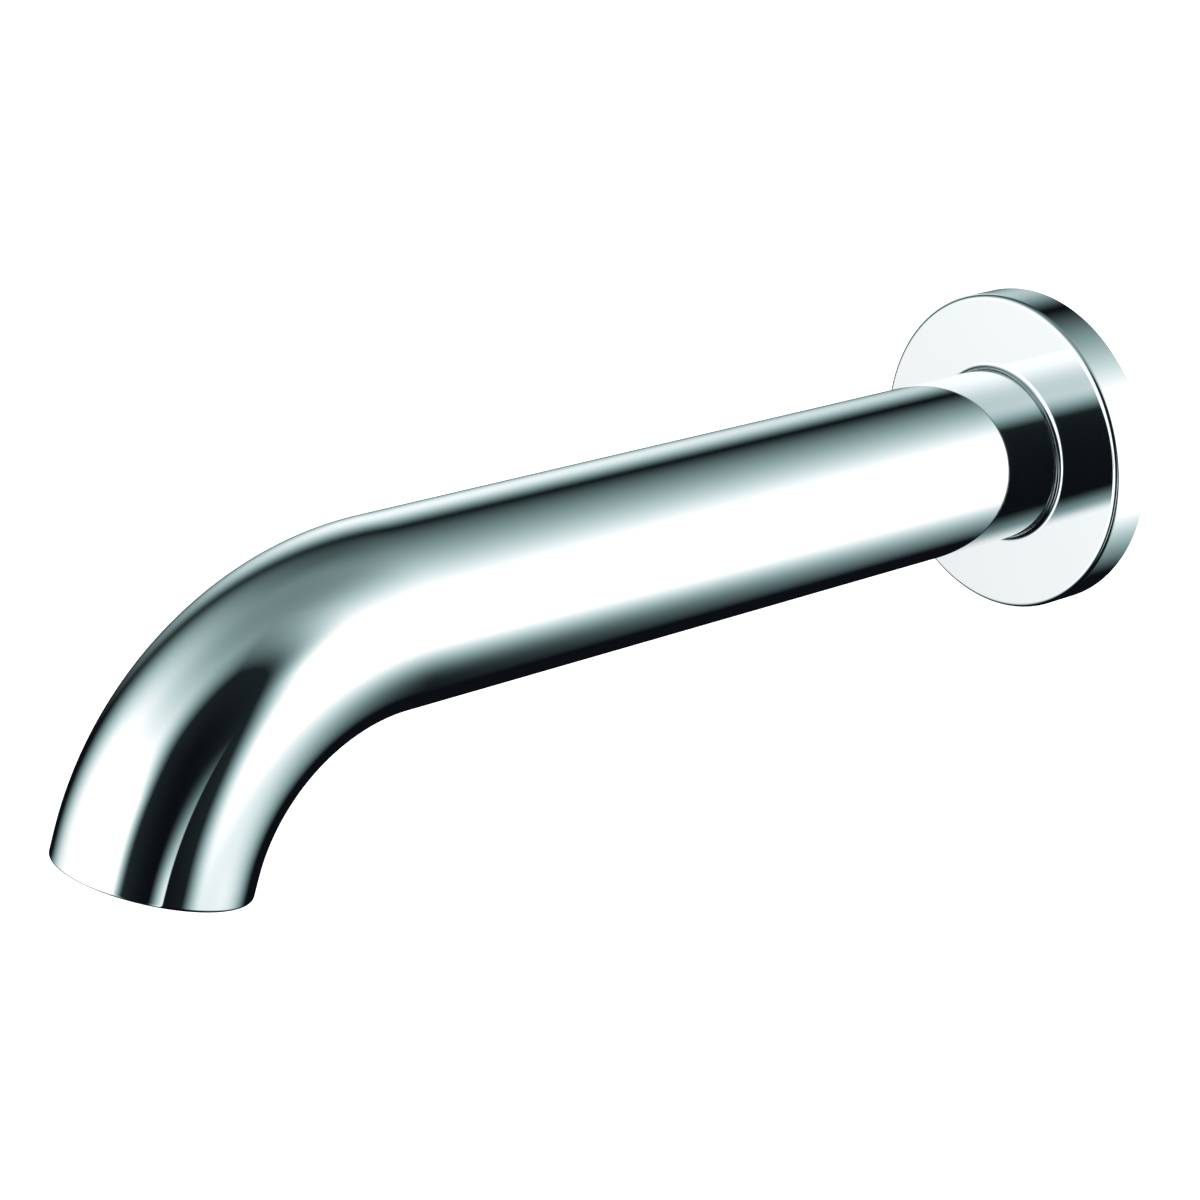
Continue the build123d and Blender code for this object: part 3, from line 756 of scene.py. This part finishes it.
ramps = {
    "crown": (height, 76.3, -11.9, 0.257, 1.95, "SMOOTHSTEP"),
    "floor": (above_floor, -60.0, -15.7, 0.0, 1.0, "SMOOTHSTEP"),
    "zenith": (height, 66.0, 88.0, 0.0, 1.0, "SMOOTHSTEP"),
    "card_edge": (beside_card, -18.8, -17.3, 0.0, 1.0, "SMOOTHSTEP"),
    "card_fade": (beside_card, -1.3, -18.8, 0.0, 1.029, "SMOOTHSTEP"),
    "card_drop": (height, 16.7, -13.3, 0.0, 1.0, "LINEAR"),
    "card_foot": (height, -64.0, -44.0, 0.0, 1.0, "SMOOTHSTEP"),
}
for name, (measure, start, end, low, high, ease) in ramps.items():
    soft[name] = add_node(
        tree, "ShaderNodeMapRange", {0: measure, 1: start, 2: end, 3: low, 4: high}, interpolation_type=ease
    ).outputs[0]
soft["past_slim_flag"] = add_node(
    tree, "ShaderNodeMath", {0: soft["slim_flag"], 1: soft["spill"]}, operation="MAXIMUM"
).outputs[0]
soft["past_broad_flag"] = add_node(
    tree, "ShaderNodeMix", {0: soft["zenith"], 2: soft["broad_flag"], 3: zenith_light}, data_type="FLOAT"
).outputs[0]

# The dome, the card and the softbox are added up, each the product of its parts. The sum is held just
# above white, so that thin dark edges still show beside it.
light_sources = (
    ("crown", "floor", "past_slim_flag", "past_broad_flag", "dim_patch"),
    ("card_edge", "card_fade", "card_drop", "card_drop", "card_foot"),
    ("softbox",),
)
lights = []
for parts in light_sources:
    product = soft[parts[0]]
    for part in parts[1:]:
        product = add_node(
            tree, "ShaderNodeMath", {0: product, 1: soft[part]}, operation="MULTIPLY"
        ).outputs[0]
    lights.append(product)
total = lights[0]
for light in lights[1:]:
    total = add_node(tree, "ShaderNodeMath", {0: total, 1: light}, operation="ADD").outputs[0]
total = add_node(tree, "ShaderNodeMath", {0: total, 1: brightest}, operation="MINIMUM").outputs[0]

# The stronger the light, the whiter it is. The dim patch is white too, and the darkest parts keep a faint
# blue-black glow. The camera itself sees plain white behind the tap.
whitening_power = 1.3
patch_whitening = 0.7
mirrored_strength = 1.22
plain_white = add_node(tree, "ShaderNodeMath", {0: total, 1: whitening_power}, operation="POWER").outputs[0]
patch_white = add_node(
    tree, "ShaderNodeMapRange", {0: soft["dim_patch"], 1: 1.0, 2: patch_light, 3: 0.0, 4: patch_whitening}
).outputs[0]
whiteness = add_node(
    tree, "ShaderNodeMath", {0: plain_white, 1: patch_white}, operation="ADD", use_clamp=True
).outputs[0]
tint = add_node(
    tree, "ShaderNodeMix", {0: whiteness, 6: linear("#D4FFFF"), 7: linear("#FFFFFF")}, data_type="RGBA"
).outputs[2]
tinted = add_node(tree, "ShaderNodeVectorMath", {0: tint, 3: total}, operation="SCALE").outputs[0]
glow = linear("#0C0E12")[:3]
glowing = add_node(tree, "ShaderNodeVectorMath", {0: tinted, 1: glow}, operation="ADD").outputs[0]
mirrored = add_node(tree, "ShaderNodeBackground", {0: glowing, 1: mirrored_strength}).outputs[0]
seen = add_node(tree, "ShaderNodeBackground", {0: linear("#FFFFFF"), 1: 1.0}).outputs[0]
from_camera = add_node(tree, "ShaderNodeLightPath").outputs["Is Camera Ray"]
shown = add_node(tree, "ShaderNodeMixShader", {0: from_camera, 1: mirrored, 2: seen})
add_node(tree, "ShaderNodeOutputWorld", {0: shown.outputs[0]})

# Camera: it stands in front of the tap, to its right and a little above, and looks back at the wall.
camera_place = Vector((325.774, -351.270, 148.793)) * mm
camera_aim = Vector((-0.74195, 0.56756, -0.35690))
camera_data = bpy.data.cameras.new("camera")
camera_data.lens = 77.875
camera_data.sensor_width = 36.0
camera_data.clip_end = 50.0
camera = bpy.data.objects.new("camera", camera_data)
bpy.context.scene.collection.objects.link(camera)
camera.location = camera_place
camera.rotation_euler = camera_aim.to_track_quat("-Z", "Y").to_euler()
bpy.context.scene.camera = camera
bpy.context.scene.view_settings.view_transform = "Standard"
